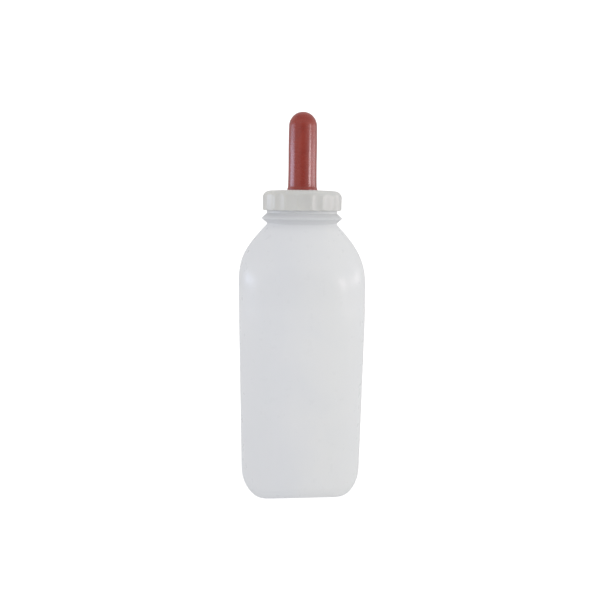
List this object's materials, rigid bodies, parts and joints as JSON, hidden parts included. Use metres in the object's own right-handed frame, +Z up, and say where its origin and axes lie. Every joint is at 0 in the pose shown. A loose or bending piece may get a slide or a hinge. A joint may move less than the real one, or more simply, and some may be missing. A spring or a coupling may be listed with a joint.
{
  "type": "calf feeding bottle",
  "caption": "Square translucent plastic milk bottle with a fluted white screw cap and a red rubber teat, used to feed calves by hand.",
  "frame": {"origin": "centre of the bottle's foot, on the plane it stands on", "axes": "+Z up through the teat; the four flat sides face +X, -X, +Y and -Y; the front is -Y"},
  "size_m": [0.1238, 0.1238, 0.3743],
  "materials": {
    "hdpe_natural": "translucent satin",
    "cap_white": "satin",
    "teat_red": "matte",
    "valve_white": "gloss",
    "ball_plastic": "gloss",
    "vent_rubber": "matte"
  },
  "bodies": {
    "body": {"bottle": "hdpe_natural"},
    "teat_assembly": {"teat": "teat_red", "valve_insert": "valve_white", "valve_cage": "valve_white"},
    "cap": {"screw_cap": "cap_white"},
    "ball": {"valve_ball": "ball_plastic"},
    "vent": {"vent_valve": "vent_rubber"}
  },
  "joints": [
    {"name": "closure_lift", "type": "slide", "parent": "body", "child": "teat_assembly", "axis": [0, 0, 1], "range_m": [0, 0.021]},
    {"name": "cap_unscrew", "type": "hinge", "parent": "teat_assembly", "child": "cap", "pos_m": [0, 0, 0.29], "axis": [0, 0, 1], "range_deg": [0, 1260]},
    {"name": "ball_lift", "type": "slide", "parent": "teat_assembly", "child": "ball", "axis": [0, 0, 1], "range_m": [0, 0.004]},
    {"name": "vent_open", "type": "slide", "parent": "teat_assembly", "child": "vent", "axis": [0, 0, -1], "range_m": [0, 0.00075]}
  ],
  "couplings": [
    {"joint": "closure_lift", "follows": "cap_unscrew", "m_per_rad": 0.00095493}
  ]
}
